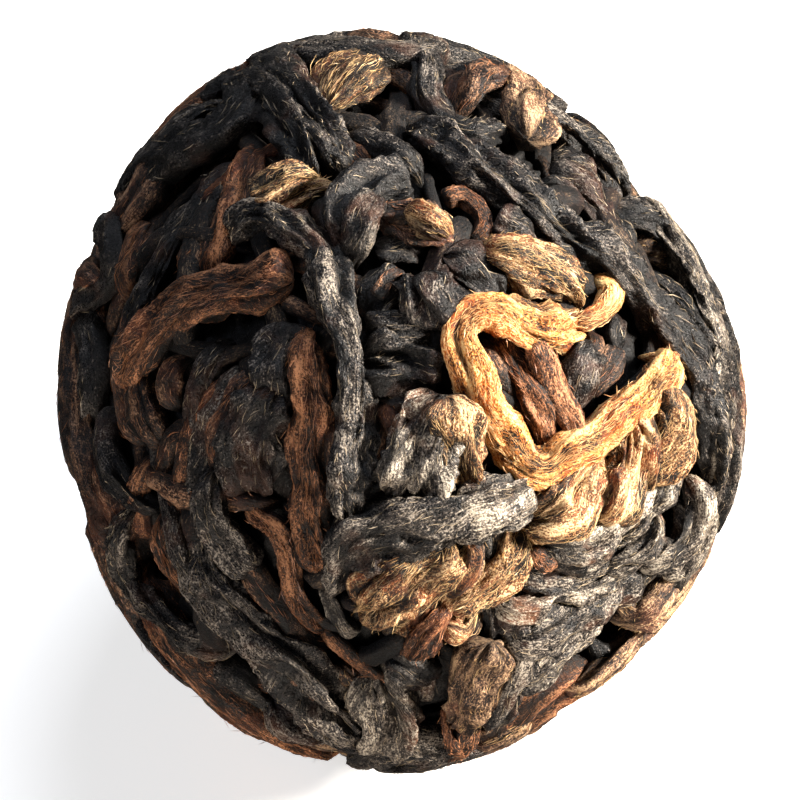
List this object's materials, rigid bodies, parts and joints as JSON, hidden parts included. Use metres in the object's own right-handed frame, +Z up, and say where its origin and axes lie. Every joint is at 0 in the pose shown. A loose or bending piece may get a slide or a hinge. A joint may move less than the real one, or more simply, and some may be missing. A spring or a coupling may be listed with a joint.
{
  "type": "pu-erh tea pearl",
  "caption": "Round ball of twisted dark and golden tea leaves, rolled by hand and pressed dry, which rests on a small flat spot and opens out in hot water.",
  "frame": {"origin": "middle of the model's box at its base, on the small pressed flat that the pearl rests on", "axes": "+Z up; the shown side faces -Y and up; +X is to the right of the shown side; the longest extent is along Y"},
  "size_m": [0.023, 0.024, 0.0229],
  "materials": {
    "dried_tea_leaf": "dull, fibrous, dark brown to black leaf with golden downy buds"
  },
  "bodies": {
    "root": {"tea_pearl": "dried_tea_leaf"}
  },
  "joints": []
}
